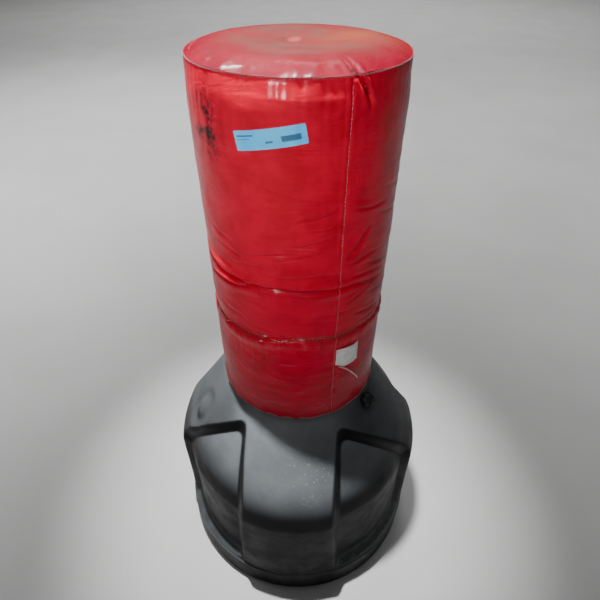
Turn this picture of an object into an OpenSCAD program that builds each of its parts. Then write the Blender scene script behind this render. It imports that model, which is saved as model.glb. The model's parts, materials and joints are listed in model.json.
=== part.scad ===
// Free-standing punching bag: a foam bag in a vinyl cover, carried on a post that stands in a
// hollow moulded base. Z = 0 is the floor, the Z axis is the post's axis, and the base's front
// strap faces -Y. The bag is drawn in its lowest height setting.

/* [Bag] */
// Radius of the bag over its side cover
bag_r = 168; // [150:1:175]
// Length of the bag from its bottom panel to its top seam
bag_len = 660; // [600:10:760]
// Radius of the bag's bottom opening
opening_r = 80; // [78:1:90]
// Thickness of the vinyl
vinyl_t = 1.6; // [1:0.1:2]
// Direction of the side seam, measured from the front towards the right
seam_az = 29; // [0:1:60]
// Height of the sewn cross seam above the floor
cross_seam_z = 756; // [700:1:800]

/* [Base] */
// Radius of the round skirt the base stands on
skirt_r = 301; // [295:1:310]
// Height of that skirt
skirt_h = 76; // [60:1:90]
// Height where the side wall ends and the shoulder starts
wall_h = 308; // [280:1:330]
// Height of the flat top that carries the bag
plateau_h = 531; // [520:1:531.5]
// Wall thickness of the moulding
shell_t = 5; // [4:0.5:6]
// Depth of the sunk panels beside the front and back straps
panel_depth = 20; // [12:1:24]

/* [Height post] */
// Outer radius of the post
post_r = 50; // [45:1:50]
// Wall thickness of the post
post_t = 5; // [4:0.5:6]
// Number of height settings
settings = 7; // [5:1:7]
// Distance between two height settings
setting_step = 88.9; // [80:0.1:88.9]
// Radius of the peg that carries the bag
peg_r = 8; // [6:0.5:8]

/* [Fill opening] */
// Direction of the fill cap, measured from the front towards the right
cap_az = 60; // [50:1:70]
// Distance of the cap's seat from the post's axis
cap_dist = 182; // [180:1:188]
// Tilt of the cap's axis from upright
cap_tilt = 45; // [40:1:50]

/* [Hidden] */
$fn = 96;

gap = 0.3;        // between faces of different bodies
fit = 0.08;       // radial clearance of a running fit
skin = 0.15;      // between two soft layers

// Base outline. The shoulder is a quarter of a superellipse about the point (sh_r0, wall_h).
wall_r = 299;
sh_r0 = 24.8;
sh_rise = 325.4;
sh_n = 1.4;
sh_steps = 30;
ledge_h = 98;
foot_r = 240;
foot_lift = 4;
bead_r = 302.2;
water_level = 450;

// Bag heights
bag_z0 = 534.3;
bag_z1 = bag_z0 + bag_len;
foam_r = bag_r - vinyl_t - skin;
crown = 9;

// Post and core
socket_z = 330;
neck_r = 62;
neck_top = 542;
collar_h = 3;
nut_z0 = plateau_h + 2.2;
nut_h = 17;
peg_z = 567;
post_top = 1155;
flange_z = peg_z + peg_r + gap;
bush_top = flange_z + 72;
bush_r = 56.9;
core_r = 62;
core_top = bag_z1 - 22;

// Fill opening, along its own axis from the boss face
cap_seat_z = 514.8;
neck_bore_r = 12.5;
neck_out_r = 15.5;
cap_r = 19.5;
knob_r = 3.5;
boss_r = 22;
gasket_z = 2.8;
cap_z = 5.1;

function polar(r, a) = [r * cos(a), r * sin(a)];

// Point of the shoulder, inset by d, at parameter a from 0 at the wall to 90 at the axis
function shoulder(a, d) = [sh_r0 + (wall_r - sh_r0 - d) * pow(cos(a), 2 / sh_n),
                           wall_h + (sh_rise - d) * pow(sin(a), 2 / sh_n)];

// The part of the shoulder below height top, with a flat top at that height
function shoulder_run(d, top) =
    [for (i = [0:sh_steps]) let (p = shoulder(i * 90 / sh_steps, d)) if (p[1] < top) p];

// Half outline of the base inset by t from its skin; sunk insets the wall above the skirt
function base_outline(t, sunk) =
    let (floor_z = t > 0 ? foot_lift + t : foot_lift, d = t + sunk, top = plateau_h - t)
    concat(
        [[0, floor_z], [foot_r - t, floor_z], [foot_r, t], [skirt_r - 11, t]],
        [for (a = [-60:30:0]) [skirt_r - 11, 11] + polar(11 - t, a)],
        [[skirt_r - t, skirt_h - 8], [bead_r - t, skirt_h - 4], [bead_r - t, skirt_h - 1]],
        sunk > 0 ? [[skirt_r - 3 - t, skirt_h + 3 - t], [wall_r - d - 1, ledge_h - t],
                    [wall_r - d - 3, ledge_h + 22]]
                 : [[wall_r - t, skirt_h + 5]],
        shoulder_run(d, top),
        [[bag_r - 4, top], [0, top]]);

// Upper edge of a sunk panel in plan, from the strap's corner to the side bar: three points of a
// quadratic curve. The panels at the back reach further up the shoulder than those at the front.
front_edge = [[102, 166], [198, 155], [277, 95]];
back_edge = [[102, 150], [203, -42], [277, 52]];

function edge_point(edge, s) =
    (1 - s) * (1 - s) * edge[0] + 2 * s * (1 - s) * edge[1] + s * s * edge[2];

// Plan of one sunk panel, shrunk by g on the strap's side and on the upper edge
function panel_plan(edge, g) = concat(
    [for (s = [0:0.125:1]) edge_point(edge, s) + [g * (1 - s), g]],
    [[330, edge[2][1] - 3 + g], [330, 330], [126 + g, 330], [123 + g, 290], [107 + g, 270]]);

module sunk_panels(g) {
    for (sx = [0, 1]) mirror([sx, 0, 0]) translate([0, 0, skirt_h + 2]) {
        mirror([0, 1, 0]) linear_extrude(plateau_h) polygon(panel_plan(front_edge, g));
        linear_extrude(plateau_h) polygon(panel_plan(back_edge, g));
    }
}

// Body of the base inset by t: full outline outside the sunk panels, sunk outline inside them
module base_form(t) {
    difference() {
        rotate_extrude() polygon(base_outline(t, 0));
        sunk_panels(-t);
    }
    rotate_extrude() polygon(base_outline(t, panel_depth));
}

// Ring from r0 to r1 between the heights z0 and z1
module ring(r0, r1, z0, z1) {
    difference() {
        translate([0, 0, z0]) cylinder(r = r1, h = z1 - z0);
        translate([0, 0, z0 - 1]) cylinder(r = r0, h = z1 - z0 + 2);
    }
}

// The same ring, kept only over a sector of the given width centred on az
module ring_sector(r0, r1, z0, z1, az, width) {
    rotate([0, 0, az - 90 - width / 2]) rotate_extrude(angle = width)
        translate([r0, z0]) square([r1 - r0, z1 - z0]);
}

// Places its children on the fill opening, with Z along the cap's axis
module at_cap() {
    translate([cap_dist * sin(cap_az), -cap_dist * cos(cap_az), cap_seat_z])
        rotate([0, 0, cap_az - 90]) rotate([0, cap_tilt, 0]) children();
}

// ---- base ----
module base_shell() {
    color("#1d1e20") difference() {
        union() {
            difference() {
                base_form(0);
                base_form(shell_t);
            }
            translate([0, 0, socket_z - 6]) cylinder(r = post_r + 7, h = neck_top - socket_z - 10);
            translate([0, 0, plateau_h - 8]) cylinder(r = neck_r, h = neck_top - plateau_h + 8);
            at_cap() translate([0, 0, -14]) cylinder(r = boss_r, h = 14);
        }
        translate([0, 0, socket_z]) cylinder(r = post_r + fit, h = 300);
        at_cap() translate([0, 0, -30]) cylinder(r = neck_out_r, h = 40);
        at_cap() cylinder(r = boss_r, h = 40);
    }
}

// Water that weighs the hollow base down, up to its level
module water_fill() {
    color("#7fa6b8") difference() {
        rotate_extrude() polygon(base_outline(shell_t + 1.5, panel_depth));
        translate([0, 0, socket_z - 7.5]) cylinder(r = post_r + 8.5, h = plateau_h);
        translate([0, 0, water_level]) cylinder(r = skirt_r + 10, h = plateau_h);
    }
}

module height_post() {
    color("#2b2c2e") difference() {
        union() {
            ring(post_r - post_t, post_r, socket_z + 0.2, post_top);
            ring(post_r - 1, neck_r - 2, neck_top + 0.1, neck_top + collar_h);
        }
        for (i = [0:settings - 1])
            translate([-post_r - 1, 0, peg_z + i * setting_step]) rotate([0, 90, 0])
                cylinder(r = peg_r + fit, h = 2 * post_r + 2);
    }
}

module post_plug() {
    color("#18191a") {
        translate([0, 0, post_top]) cylinder(r = post_r - 1, h = 3);
        translate([0, 0, post_top - 20]) cylinder(r = post_r - post_t - fit, h = 20.5);
    }
}

// Ribbed nut that screws on the base's neck and holds the post down by its collar
module post_nut() {
    color("#26272a") difference() {
        union() {
            translate([0, 0, nut_z0]) cylinder(r = 71, h = nut_h);
            for (i = [0:11]) rotate([0, 0, i * 30])
                translate([71, 0, nut_z0]) cylinder(r = 4.5, h = nut_h - 3);
        }
        translate([0, 0, nut_z0 - 1]) cylinder(r = neck_r + fit, h = neck_top + collar_h - nut_z0 + 1.1);
        translate([0, 0, nut_z0 - 1]) cylinder(r = post_r + fit, h = nut_h + 2);
    }
}

module post_seal() {
    color("#111111") ring(neck_r + fit, 70, plateau_h + 0.1, nut_z0 - 0.1);
}

module lock_peg() {
    half = opening_r - 14;
    color("#b9bcc0") translate([0, 0, peg_z]) rotate([0, 90, 0]) difference() {
        union() {
            translate([0, 0, -half]) cylinder(r = peg_r, h = 2 * half);
            for (s = [0, 1]) mirror([0, 0, s])
                translate([0, 0, half]) cylinder(r1 = peg_r, r2 = peg_r - 2, h = 2);
        }
        translate([-peg_r - 1, 0, half - 6]) rotate([0, 90, 0]) cylinder(r = 1.6, h = 2 * peg_r + 2);
    }
}

// Cotter through the peg's end, so that it can't slide out of the post
module peg_clip() {
    half = opening_r - 14;
    color("#c9ccd0") translate([half - 6, 0, peg_z - peg_r - 3]) {
        cylinder(r = 1.5, h = 2 * peg_r + 3);
        translate([0, 0, -1]) rotate([90, 0, 0])
            rotate_extrude() translate([2.4, 0]) circle(r = 1.2, $fn = 24);
    }
}

module fill_neck() {
    color("#2f3032") at_cap() difference() {
        union() {
            translate([0, 0, -15]) cylinder(r = neck_out_r - 0.05, h = 15.05);
            translate([0, 0, 0.05]) cylinder(r = neck_out_r + 3, h = 2.4);
        }
        translate([0, 0, -20]) cylinder(r = neck_bore_r, h = 30);
    }
}

module cap_gasket() {
    color("#0d0d0d") at_cap() ring(neck_bore_r + 0.4, neck_out_r + 2, gasket_z, cap_z - gap);
}

// Screw cap with knobs round its rim and a hollow plug below
module fill_cap() {
    color("#17181a") at_cap() difference() {
        union() {
            translate([0, 0, cap_z]) cylinder(r = cap_r - 3, h = 8);
            translate([0, 0, cap_z + 8]) cylinder(r1 = cap_r - 3, r2 = cap_r - 5, h = 2);
            for (i = [0:7]) rotate([0, 0, i * 45])
                translate([cap_r - knob_r, 0, cap_z]) cylinder(r = knob_r, h = 6);
            translate([0, 0, -10]) cylinder(r = neck_bore_r - fit, h = 10 + cap_z);
        }
        translate([0, 0, -11]) cylinder(r = neck_bore_r - 3, h = 12);
        translate([0, 0, cap_z + 7]) cylinder(r = cap_r - 10, h = 4);
    }
}

// ---- core of the bag ----
// Flanged bush that slides on the post, sits on the peg and carries the core tube
module seat_bush() {
    color("#d8d6cc") {
        ring(post_r + fit, bush_r, flange_z, bush_top);
        ring(bush_r - 0.5, 70, flange_z, flange_z + 8);
    }
}

module core_washer() {
    color("#e6e4dc") ring(bush_r + gap, 69, flange_z + 8 + gap, flange_z + 10 + gap);
}

module core_tube() {
    color("#3a3b3e") ring(bush_r + fit, core_r, flange_z + 10.2 + gap, core_top);
}

module core_cap() {
    color("#3a3b3e") {
        translate([0, 0, core_top + 0.05]) cylinder(r = core_r, h = 4);
        translate([0, 0, core_top - 10]) cylinder(r = bush_r - 0.1, h = 11);
    }
}

module foam_body() {
    color("#d9cfa3") difference() {
        translate([0, 0, bag_z0 + vinyl_t + skin])
            cylinder(r = foam_r, h = core_top + 4.2 - bag_z0 - vinyl_t);
        translate([0, 0, bag_z0]) cylinder(r = core_r + skin, h = bag_len);
        translate([0, 0, bag_z0]) cylinder(r = opening_r, h = flange_z + 12 - bag_z0);
    }
}

module foam_top() {
    low = core_top + 4.6;
    color("#d9cfa3") rotate_extrude() polygon([
        [0, low], [foam_r, low], [foam_r, bag_z1 - 4], [foam_r - 3, bag_z1 + 2],
        [foam_r - 12, bag_z1 + crown - vinyl_t - 2], [0, bag_z1 + crown - vinyl_t - 2]]);
}

// ---- cover of the bag ----
module cover_side() {
    color("#b3061a") ring(bag_r - vinyl_t, bag_r, bag_z0 + vinyl_t + skin, bag_z1 - 2);
}

// Round top panel, turned down over the edge to meet the side panel at the welt
module cover_top() {
    color("#b3061a") rotate_extrude() polygon([
        [bag_r - vinyl_t, bag_z1 + 2], [bag_r, bag_z1 + 2],
        [bag_r - 1.2, bag_z1 + 5], [bag_r - 5, bag_z1 + 7.6],
        [bag_r - 12, bag_z1 + crown], [0, bag_z1 + crown], [0, bag_z1 + crown - vinyl_t],
        [bag_r - 13, bag_z1 + crown - vinyl_t], [bag_r - 6, bag_z1 + 5.8], [bag_r - 2.8, bag_z1 + 4]]);
}

module cover_bottom() {
    color("#8f0616") ring(opening_r, bag_r, bag_z0, bag_z0 + vinyl_t);
}

module top_welt() {
    color("#c2404c") rotate_extrude() translate([bag_r - 0.2, bag_z1]) circle(r = 1.7, $fn = 24);
}

module side_seam() {
    color("#a00618") for (band = [[bag_z0 + 10, cross_seam_z - 4], [cross_seam_z + 4, bag_z1 - 4]])
        ring_sector(bag_r + skin, bag_r + skin + 1, band[0], band[1], seam_az, 2.4);
}

module cross_seam() {
    color("#a00618") ring(bag_r + skin, bag_r + skin + 1, cross_seam_z - 3, cross_seam_z + 3);
}

module bottom_hem() {
    color("#c98a86") ring(bag_r + skin, bag_r + skin + 1, bag_z0, bag_z0 + 8);
}

// Woven care label, caught in the side seam along one edge
module care_label() {
    color("#e9ebe6") ring_sector(bag_r + 1.4, bag_r + 2.2, 680, 721, seam_az + 9.6, 17);
}

// Loose strip that hangs from the label's lower corner: turn from the seam, height, radius
strip_r = 1;
strip_route = [[2.5, 677, 170], [5, 675, 170.6], [8, 671, 171.2], [11, 664, 171.6], [13.5, 655, 171.8],
               [15.5, 645, 171.6], [17, 635, 171.2], [18, 627, 170.8]];

function strip_point(p) = [p[2] * sin(seam_az + p[0]), -p[2] * cos(seam_az + p[0]), p[1]];

// Ring of points round the route at station i
function sweep_ring(path, i, r, sides) =
    let (n = len(path), a = path[max(i - 1, 0)], b = path[min(i + 1, n - 1)],
         dir = (b - a) / norm(b - a), side = cross(dir, [0, 0, 1]), u = side / norm(side), v = cross(u, dir))
    [for (k = [0:sides - 1]) path[i] + r * cos(k * 360 / sides) * u + r * sin(k * 360 / sides) * v];

module sweep(path, r, sides) {
    n = len(path);
    points = [for (i = [0:n - 1]) each sweep_ring(path, i, r, sides)];
    walls = [for (i = [0:n - 2], k = [0:sides - 1]) let (m = (k + 1) % sides)
        [i * sides + k, i * sides + m, (i + 1) * sides + m, (i + 1) * sides + k]];
    first = [for (k = [0:sides - 1]) sides - 1 - k];
    last = [for (k = [0:sides - 1]) (n - 1) * sides + k];
    polyhedron(points, concat([first], walls, [last]));
}

module label_strip() {
    color("#d79aa0") sweep([for (p = strip_route) strip_point(p)], strip_r, 8);
}

// Blank self-adhesive tag on the front of the bag
module blank_sticker() {
    color("#6fb2dc") intersection() {
        ring(bag_r + skin, bag_r + skin + 0.5, 1060, 1180);
        rotate([0, 0, -7.8]) translate([0, -bag_r, 1122]) rotate([0, -10.5, 0])
            cube([100, 60, 27], center = true);
    }
}

base_shell();
water_fill();
height_post();
post_plug();
post_nut();
post_seal();
lock_peg();
peg_clip();
fill_neck();
cap_gasket();
fill_cap();
seat_bush();
core_tube();
core_cap();
foam_body();
foam_top();
cover_side();
cover_top();
cover_bottom();
top_welt();
side_seam();
cross_seam();
bottom_hem();
care_label();
label_strip();
blank_sticker();
core_washer();
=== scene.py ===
"""Looks of the free-standing punching bag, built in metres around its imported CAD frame."""
import json
from math import cos, pi, radians, sin, tau

import bpy
import numpy as np
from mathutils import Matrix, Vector


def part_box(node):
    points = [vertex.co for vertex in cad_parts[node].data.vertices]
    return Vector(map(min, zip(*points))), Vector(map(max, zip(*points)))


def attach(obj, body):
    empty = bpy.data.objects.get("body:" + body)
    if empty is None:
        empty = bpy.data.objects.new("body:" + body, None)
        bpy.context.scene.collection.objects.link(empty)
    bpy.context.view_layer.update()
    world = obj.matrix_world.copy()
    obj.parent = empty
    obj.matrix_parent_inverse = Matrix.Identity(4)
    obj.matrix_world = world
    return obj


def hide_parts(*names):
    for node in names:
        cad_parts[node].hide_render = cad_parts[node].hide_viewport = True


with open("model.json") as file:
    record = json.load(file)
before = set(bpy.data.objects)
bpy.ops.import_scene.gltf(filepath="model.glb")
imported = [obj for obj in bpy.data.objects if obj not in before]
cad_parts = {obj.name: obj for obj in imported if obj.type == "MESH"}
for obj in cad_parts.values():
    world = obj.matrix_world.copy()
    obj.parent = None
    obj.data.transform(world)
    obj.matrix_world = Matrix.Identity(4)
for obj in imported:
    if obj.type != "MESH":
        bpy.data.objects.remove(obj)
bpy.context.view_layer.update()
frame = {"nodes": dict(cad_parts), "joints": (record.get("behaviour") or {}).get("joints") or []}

JOINTS = {joint["name"]: joint for joint in frame["joints"]}
MM = 0.001

# ---------------------------------------------------------------- sizes from the frame
def middle_height(node):
    low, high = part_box(node)
    return (low.z + high.z) / 2


BAG_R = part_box("cover_side")[1].x
BAG_Z0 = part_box("cover_bottom")[0].z
SEAM_Z = middle_height("top_welt")
CROSS_Z = middle_height("cross_seam")
OPENING_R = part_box("lock_peg")[1].x + 12 * MM
CORE_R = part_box("core_tube")[1].x
FLANGE_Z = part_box("seat_bush")[0].z
CORE_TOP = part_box("core_cap")[1].z
PLATEAU_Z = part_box("post_seal")[0].z - 0.1 * MM
SEAM_TURN = 29
SEAM_AZ = radians(SEAM_TURN)
CAP_AXIS = Vector(JOINTS["cap_turn"]["axis"]).normalized()
CAP_SEAT = Vector(JOINTS["cap_turn"]["pos_m"])

# The base's outline, as in the CAD
WALL_R = 299 * MM
WALL_TOP = 308 * MM
SHOULDER_R0 = 24.8 * MM
SHOULDER_RISE = 325.4 * MM
SHOULDER_N = 1.4
SKIRT_R = 301 * MM
FOOT_R = 240 * MM
FOOT_LIFT = 4 * MM
PANEL_DEPTH = 20 * MM
# Upper edge of a sunk panel in plan (right, away from the middle), as a quadratic curve in millimetres
FRONT_EDGE = np.array([(102, 166), (198, 155), (277, 95)])
BACK_EDGE = np.array([(102, 150), (203, -42), (277, 52)])


# ---------------------------------------------------------------- camera and label strip
def make_camera():
    """The main view: in front, 5 degrees to the right, looking down."""
    azimuth, distance, height, pitch = radians(5), 0.7614, 1.3506, radians(39.78)
    data = bpy.data.cameras.new("camera")
    data.sensor_width = 36
    data.lens = 28.32
    data.shift_x = 0.003
    camera = bpy.data.objects.new("camera", data)
    bpy.context.scene.collection.objects.link(camera)
    camera.location = (distance * sin(azimuth), -distance * cos(azimuth), height)
    camera.rotation_euler = (pi / 2 - pitch, 0, azimuth)
    bpy.context.scene.camera = camera


def on_bag(az, z, r):
    """Point at angle az from the front towards the right, height z and distance r from the post's axis."""
    return np.stack([r * np.sin(az), -r * np.cos(az), z + 0 * az], -1)


def smooth_path(points, per_span):
    """Catmull-Rom curve through the points, per_span steps to a span."""
    p = np.array(points, float)
    p = np.vstack([2 * p[0] - p[1], p, 2 * p[-1] - p[-2]])
    out = []
    for i in range(1, len(p) - 2):
        for t in np.arange(per_span) / per_span:
            out.append(0.5 * (2 * p[i] + (p[i + 1] - p[i - 1]) * t
                              + (2 * p[i - 1] - 5 * p[i] + 4 * p[i + 1] - p[i + 2]) * t ** 2
                              + (3 * p[i] - p[i - 1] - 3 * p[i + 1] + p[i + 2]) * t ** 3))
    out.append(p[-2])
    return np.array(out)


STRIP_DIAMETER = 2.8 * MM
# The strip below the label: turn from the side seam in degrees, height and radius in millimetres
STRIP_ROUTE = [(3, 678, 170.5), (5, 674, 171.2), (7.5, 668, 172), (10, 660, 172.8), (12.5, 650, 173.5),
               (15, 640, 174), (17.5, 629, 174), (19.5, 618, 173.6)]


def make_label_strip():
    """The loose strip that hangs from the care label's lower corner."""
    route = [on_bag(SEAM_AZ + radians(turn), z * MM, r * MM) for turn, z, r in STRIP_ROUTE]
    path = smooth_path(route, 3)
    curve = bpy.data.curves.new("loose_label_strip", "CURVE")
    curve.dimensions = "3D"
    curve.bevel_depth = STRIP_DIAMETER / 2
    curve.bevel_resolution = 3
    curve.use_fill_caps = True
    spline = curve.splines.new("POLY")
    spline.points.add(len(path) - 1)
    for point, co in zip(spline.points, path):
        point.co = (*co, 1)
    strip = bpy.data.objects.new("loose_label_strip", curve)
    bpy.context.scene.collection.objects.link(strip)
    finish_piece(strip, "bag", "label_cloth", "loose_strip", "label_strip")


# ---------------------------------------------------------------- mesh helpers
def smoothstep(low, high, x):
    """0 below low and 1 above high, eased between them."""
    t = np.clip((x - low) / (high - low), 0, 1)
    return t * t * (3 - 2 * t)


def soft_min(a, b, k):
    """The smaller of a and b, rounded over a range k where they meet."""
    h = np.clip(0.5 + 0.5 * (b - a) / k, 0, 1)
    return b + (a - b) * h - k * h * (1 - h)


def bump(x, width):
    """1 at x = 0, falling away to both sides over about a width."""
    return np.exp(-(x / width) ** 2)


def angle_from(az, degrees):
    """Angle from a bearing given in degrees, in radians from -pi to pi."""
    return (az - radians(degrees) + pi) % tau - pi


def lattice_noise(u, v, cells_u, seed):
    """Smooth noise from -1 to 1 over u, which wraps at 1, and v, in lattice cells."""
    rng = np.random.default_rng(seed)
    table = rng.uniform(-1, 1, (64, cells_u))
    x = (u % 1) * cells_u
    i, j = np.floor(x).astype(int), np.floor(v).astype(int)
    fu, fv = x - i, v - j
    fu, fv = fu * fu * (3 - 2 * fu), fv * fv * (3 - 2 * fv)
    i0, i1, j0, j1 = i % cells_u, (i + 1) % cells_u, j % 64, (j + 1) % 64
    low = table[j0, i0] * (1 - fu) + table[j0, i1] * fu
    high = table[j1, i0] * (1 - fu) + table[j1, i1] * fu
    return low * (1 - fv) + high * fv


def link_mesh(name, verts, faces, smooth=True):
    mesh = bpy.data.meshes.new(name)
    mesh.from_pydata([tuple(v) for v in verts], [], faces)
    mesh.update()
    mesh.validate()
    if smooth:
        mesh.shade_smooth()
    obj = bpy.data.objects.new(name, mesh)
    bpy.context.scene.collection.objects.link(obj)
    return obj


def grid_faces(rows, cols, wrap_rows=False, start=0):
    """Quads of a grid whose columns wrap round, seen from outside when rows climb and columns turn left."""
    i = np.arange(rows if wrap_rows else rows - 1)[:, None]
    j = np.arange(cols)[None, :]
    i1, j1 = (i + 1) % rows, (j + 1) % cols
    quads = np.stack([i * cols + j, i * cols + j1, i1 * cols + j1, i1 * cols + j], -1)
    return (quads.reshape(-1, 4) + start).tolist()


def lathe_mesh(name, points, closed_ring=False):
    """Closed mesh of a rows x columns grid of points. Its ends are fans, or its rows join in a ring."""
    rows, cols = points.shape[:2]
    verts = points.reshape(-1, 3)
    faces = grid_faces(rows, cols, closed_ring)
    if not closed_ring:
        ends = [points[0].mean(0), points[-1].mean(0)]
        verts = np.vstack([verts, ends])
        first, last = rows * cols, rows * cols + 1
        j = np.arange(cols)
        faces += [[first, (a + 1) % cols, a] for a in j]
        top = (rows - 1) * cols
        faces += [[last, top + a, top + (a + 1) % cols] for a in j]
    return link_mesh(name, verts, faces)


def revolve(name, outline, cols=192, closed_ring=False):
    """Closed mesh of an outline of (radius, height) turned round the post's axis."""
    az = np.arange(cols) * tau / cols
    ring = [on_bag(az, np.full(cols, z), np.full(cols, r)) for r, z in outline]
    return lathe_mesh(name, np.array(ring), closed_ring)


def set_attribute(obj, name, values):
    """A value for each vertex, which the material reads. Vertices past the values get the last one."""
    full = np.full(len(obj.data.vertices), values[-1], np.float32)
    full[:len(values)] = values
    obj.data.attributes.new(name, "FLOAT", "POINT").data.foreach_set("value", full)


def finish_piece(obj, body, slot, material, *nodes):
    """Rides the piece on its body, gives it its material and hides the CAD nodes it stands for; slot is not
    used.
    """
    obj.data.materials.clear()
    obj.data.materials.append(MATERIALS[material])
    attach(obj, body)
    if nodes:
        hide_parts(*nodes)
    return obj


# ---------------------------------------------------------------- materials
class Shader:
    """A short way to wire a procedural material."""

    def __init__(self, name, coords="Object"):
        self.material = bpy.data.materials.new(name)
        self.material.use_nodes = True
        self.tree = self.material.node_tree
        self.surface = self.tree.nodes["Principled BSDF"]
        self.coords = self.tree.nodes.new("ShaderNodeTexCoord").outputs[coords]

    def node(self, kind, inputs=None, **settings):
        made = self.tree.nodes.new(kind)
        for key, value in settings.items():
            setattr(made, key, value)
        for key, value in (inputs or {}).items():
            self.feed(made.inputs[key], value)
        return made

    def feed(self, socket, value):
        if isinstance(value, bpy.types.NodeSocket):
            self.tree.links.new(value, socket)
        elif socket.type == "RGBA" and len(value) == 3:
            socket.default_value = (*value, 1)
        else:
            socket.default_value = value

    def scaled(self, x, y, z):
        """Object coordinates stretched by a factor on each axis."""
        return self.node("ShaderNodeMapping", {"Vector": self.coords, "Scale": (x, y, z)}).outputs[0]

    def noise(self, scale, detail=4, roughness=0.55, vector=None, distortion=0.0):
        made = self.node("ShaderNodeTexNoise", {
            "Vector": vector or self.coords, "Scale": scale, "Detail": detail,
            "Roughness": roughness, "Distortion": distortion})
        return made.outputs["Fac"]

    def cells(self, scale, vector=None, feature="F1", output="Distance"):
        made = self.node("ShaderNodeTexVoronoi", {"Vector": vector or self.coords, "Scale": scale},
                         feature=feature)
        return made.outputs[output]

    def steps(self, value, low, high, out_low=0.0, out_high=1.0):
        """Maps low..high to out_low..out_high, clamped and eased."""
        made = self.node("ShaderNodeMapRange", {
            "Value": value, "From Min": low, "From Max": high, "To Min": out_low, "To Max": out_high},
            interpolation_type="SMOOTHSTEP")
        return made.outputs["Result"]

    def math(self, operation, a, b=0.0):
        return self.node("ShaderNodeMath", {0: a, 1: b}, operation=operation).outputs[0]

    def times(self, a, b):
        return self.math("MULTIPLY", a, b)

    def mix(self, amount, a, b):
        made = self.node("ShaderNodeMix", data_type="RGBA")
        self.feed(made.inputs["Factor"], amount)
        self.feed(made.inputs["A"], a)
        self.feed(made.inputs["B"], b)
        return made.outputs["Result"]

    def attribute(self, name):
        return self.node("ShaderNodeAttribute", attribute_name=name).outputs["Fac"]

    def upward(self):
        """How far the surface faces up, from -1 to 1."""
        normal = self.node("ShaderNodeNewGeometry").outputs["Normal"]
        return self.node("ShaderNodeSeparateXYZ", {0: normal}).outputs["Z"]

    def bump(self, height, strength, distance, under=None):
        inputs = {"Height": height, "Strength": strength, "Distance": distance}
        if under:
            inputs["Normal"] = under
        return self.node("ShaderNodeBump", inputs).outputs[0]

    def finish(self, color, roughness, normal=None, **uniform):
        self.feed(self.surface.inputs["Base Color"], color)
        self.feed(self.surface.inputs["Roughness"], roughness)
        if normal:
            self.feed(self.surface.inputs["Normal"], normal)
        for name, value in uniform.items():
            self.feed(self.surface.inputs[name.replace("_", " ")], value)
        return self.material


def vinyl_material(name, clean, deep, dusty, tanned, coat):
    """Glossy coated fabric: fine weave under the gloss, grime in patches, dust, scuffs and scratches, and
    painted shade at the side edges, in fold creases and in the gash.
    """
    s = Shader(name)
    grime = s.steps(s.noise(9, 6, 0.62), 0.5, 0.78)
    mottled = s.mix(s.steps(s.noise(26, 3), 0.35, 0.7), clean, deep)
    # Grime in patches; where the side panel's share is raised at its left and right edges, this is painted
    # shade.
    color = s.mix(s.times(grime, s.attribute("grime")), mottled, (0.12, 0.036, 0.029))
    dust_patch = s.steps(s.noise(15, 6, 0.65), 0.3, 0.72, 0.35, 1.0)
    color = s.mix(s.times(dust_patch, s.attribute("dust")), color, dusty)
    tan_patch = s.steps(s.noise(7, 5), 0.35, 0.75)
    color = s.mix(s.times(tan_patch, s.attribute("tan")), color, tanned)
    scuff = s.steps(s.noise(60, 5, 0.7), 0.42, 0.62)
    color = s.mix(s.times(scuff, s.attribute("scuff")), color, (0.03, 0.008, 0.008))
    scratch = s.steps(s.noise(6, 2, 0.5, s.scaled(0.6, 0.6, 11), 1.5), 0.705, 0.73)
    color = s.mix(s.times(scratch, 0.2), color, (0.55, 0.12, 0.12))
    # Painted shade in the fold valleys and along the cross seam.
    color = s.mix(s.times(s.attribute("crease"), 0.6), color, (0.07, 0.0008, 0.004))
    # Painted shade: the open slit of the gash nearly black.
    color = s.mix(s.attribute("gash"), color, (0.012, 0.004, 0.004))
    weave = s.times(s.math("SINE", s.attribute("around")), s.math("SINE", s.attribute("up")))
    grain = s.bump(s.noise(420, 3, 0.6), 0.1, 0.0004)
    ripple = s.bump(s.noise(55, 4, 0.5, s.scaled(1, 1, 1.6)), 0.18, 0.0016, grain)
    pulled = s.bump(s.noise(8, 5, 0.6, s.scaled(1, 1, 3.6), 1.3), 0.5, 0.008, ripple)
    normal = s.bump(weave, 0.45, 0.0004, pulled)
    roughness = s.steps(s.noise(14, 5, 0.6), 0.3, 0.75, 0.30, 0.46)
    roughness = s.math("ADD", roughness, s.times(s.attribute("dust"), 0.35))
    return s.finish(color, roughness, normal, Specular_IOR_Level=0.06, Coat_Weight=coat, Coat_Roughness=0.17)


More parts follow.
